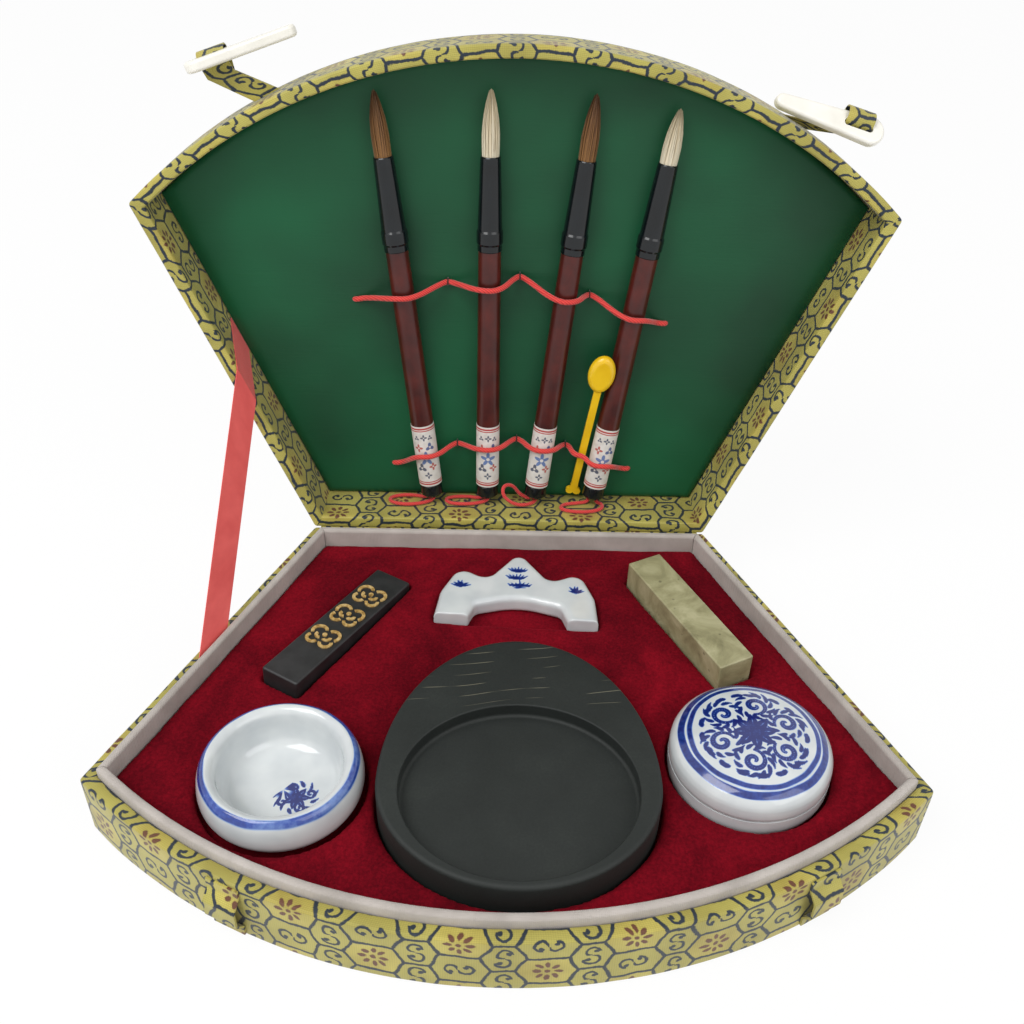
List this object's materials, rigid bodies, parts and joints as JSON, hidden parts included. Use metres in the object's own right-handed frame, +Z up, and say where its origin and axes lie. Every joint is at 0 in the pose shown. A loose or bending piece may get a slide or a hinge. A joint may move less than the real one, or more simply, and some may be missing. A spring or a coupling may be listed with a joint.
{
  "type": "calligraphy set box",
  "caption": "Fan-shaped cloth-covered writing-set box, lid open, with inkstone, ink stick, brushes, porcelain dish, paste box, brush rest and seal stone in a fitted tray.",
  "frame": {"origin": "middle of the base's underside, halfway between the hinge edge and the front curve", "axes": "+Z up; +Y towards the hinge at the back; +X to the right as seen from the front"},
  "size_m": [0.2894, 0.2502, 0.2232],
  "materials": {
    "brocade": "woven satin brocade",
    "board": "grey board",
    "paper": "matte paper",
    "liner_cloth": "matte cloth over board",
    "velvet": "velvet",
    "green_satin": "satin",
    "panel_card": "card",
    "red_ribbon": "satin ribbon",
    "hinge_cloth": "woven cloth",
    "elastic": "round elastic",
    "thread": "sewing thread",
    "bone": "polished imitation bone",
    "ink_stone": "honed slate",
    "ink": "dull pressed ink",
    "gilt": "gilt paint",
    "porcelain": "white glaze with blue decoration",
    "soapstone": "polished soapstone",
    "seal_paste": "dense oily paste",
    "lacquered_wood": "dark red lacquer",
    "black_plastic": "gloss black",
    "label_paper": "white paper with thin red lines",
    "brown_hair": "brush hair",
    "cream_hair": "brush hair",
    "yellow_plastic": "moulded plastic"
  },
  "bodies": {
    "base": {"bottom_paper": "paper", "base_floor_board": "board", "base_walls": "board", "base_brocade_cover": "brocade", "liner_back": "liner_cloth", "liner_left": "liner_cloth", "liner_right": "liner_cloth", "liner_front": "liner_cloth", "velvet_insert": "velvet", "closure_loop_left": "brocade", "closure_loop_right": "brocade", "hinge_cloth": "hinge_cloth", "ribbon_stay": "red_ribbon"},
    "lid": {"lid_top_board": "board", "lid_walls": "board", "lid_brocade_cover": "brocade", "lid_brocade_lining": "brocade", "lid_panel_card": "panel_card", "lid_green_pad": "green_satin", "elastic_upper": "elastic", "elastic_lower": "elastic", "stitches": "thread"},
    "strap_left": {"strap_left": "brocade"},
    "strap_right": {"strap_right": "brocade"},
    "toggle_left": {"toggle_left": "bone"},
    "toggle_right": {"toggle_right": "bone"},
    "inkstone": {"inkstone": "ink_stone"},
    "ink_stick": {"ink_stick": "ink", "ink_stick_gilding": "gilt"},
    "brush_rest": {"brush_rest": "porcelain"},
    "seal_stone": {"seal_stone": "soapstone"},
    "water_dish": {"water_dish": "porcelain"},
    "paste_box": {"paste_box_base": "porcelain", "seal_paste": "seal_paste"},
    "paste_box_lid": {"paste_box_lid": "porcelain"},
    "brush_1": {"brush_1_handle": "lacquered_wood", "brush_1_ferrule": "black_plastic", "brush_1_tuft": "brown_hair", "brush_1_label": "label_paper", "brush_1_end_cap": "black_plastic", "brush_1_hanging_loop": "elastic"},
    "brush_2": {"brush_2_handle": "lacquered_wood", "brush_2_ferrule": "black_plastic", "brush_2_tuft": "cream_hair", "brush_2_label": "label_paper", "brush_2_end_cap": "black_plastic", "brush_2_hanging_loop": "elastic"},
    "brush_3": {"brush_3_handle": "lacquered_wood", "brush_3_ferrule": "black_plastic", "brush_3_tuft": "brown_hair", "brush_3_label": "label_paper", "brush_3_end_cap": "black_plastic", "brush_3_hanging_loop": "elastic"},
    "brush_4": {"brush_4_handle": "lacquered_wood", "brush_4_ferrule": "black_plastic", "brush_4_tuft": "cream_hair", "brush_4_label": "label_paper", "brush_4_end_cap": "black_plastic", "brush_4_hanging_loop": "elastic"},
    "spoon": {"spoon": "yellow_plastic"}
  },
  "joints": [
    {"name": "lid_hinge", "type": "hinge", "parent": "base", "child": "lid", "pos_m": [0, 0.0985, 0.026], "axis": [1, 0, 0], "range_deg": [0, 98], "deforming": ["hinge_cloth", "ribbon_stay"]},
    {"name": "strap_left_fold", "type": "hinge", "parent": "lid", "child": "strap_left", "pos_m": [-0.09243, 0.13582, 0.19811], "axis": [0.8958, 0.0619, 0.4401], "range_deg": [-30, 25]},
    {"name": "toggle_left_swing", "type": "hinge", "parent": "strap_left", "child": "toggle_left", "pos_m": [-0.1105, 0.13754, 0.21036], "axis": [-0.9432, -0.0462, -0.3289], "range_deg": [-15, 80]},
    {"name": "strap_right_fold", "type": "hinge", "parent": "lid", "child": "strap_right", "pos_m": [0.10215, 0.1351, 0.19302], "axis": [0.8711, -0.0684, -0.4864], "range_deg": [-30, 7]},
    {"name": "toggle_right_swing", "type": "hinge", "parent": "strap_right", "child": "toggle_right", "pos_m": [0.1245, 0.13143, 0.19567], "axis": [-0.9583, 0.0398, 0.2829], "range_deg": [-15, 80]},
    {"name": "inkstone_lift", "type": "slide", "parent": "base", "child": "inkstone", "axis": [0, 0, -1], "range_m": [-0.06, 0]},
    {"name": "ink_stick_lift", "type": "slide", "parent": "base", "child": "ink_stick", "axis": [-0.0272, -0.0447, -0.9986], "range_m": [-0.06, 0]},
    {"name": "brush_rest_lift", "type": "slide", "parent": "base", "child": "brush_rest", "axis": [0, 0, -1], "range_m": [-0.06, 0]},
    {"name": "seal_stone_lift", "type": "slide", "parent": "base", "child": "seal_stone", "axis": [0, 0, -1], "range_m": [-0.06, 0]},
    {"name": "water_dish_lift", "type": "slide", "parent": "base", "child": "water_dish", "axis": [0, 0, -1], "range_m": [-0.06, 0]},
    {"name": "paste_box_lift", "type": "slide", "parent": "base", "child": "paste_box", "axis": [0, 0, -1], "range_m": [-0.06, 0]},
    {"name": "paste_box_lid_lift", "type": "slide", "parent": "paste_box", "child": "paste_box_lid", "axis": [0, 0, -1], "range_m": [-0.04, 0]},
    {"name": "brush_1_slide", "type": "slide", "parent": "lid", "child": "brush_1", "axis": [0.1167, -0.1382, -0.9835], "range_m": [-0.006, 0]},
    {"name": "brush_2_slide", "type": "slide", "parent": "lid", "child": "brush_2", "axis": [0.0035, -0.1392, -0.9903], "range_m": [-0.003, 0]},
    {"name": "brush_3_slide", "type": "slide", "parent": "lid", "child": "brush_3", "axis": [-0.1028, -0.1384, -0.985], "range_m": [-0.006, 0]},
    {"name": "brush_4_slide", "type": "slide", "parent": "lid", "child": "brush_4", "axis": [-0.1409, -0.1378, -0.9804], "range_m": [-0.006, 0]},
    {"name": "spoon_slide", "type": "slide", "parent": "lid", "child": "spoon", "axis": [-0.1413, 0.0087, -0.9899], "range_m": [-0.05, 0]}
  ]
}
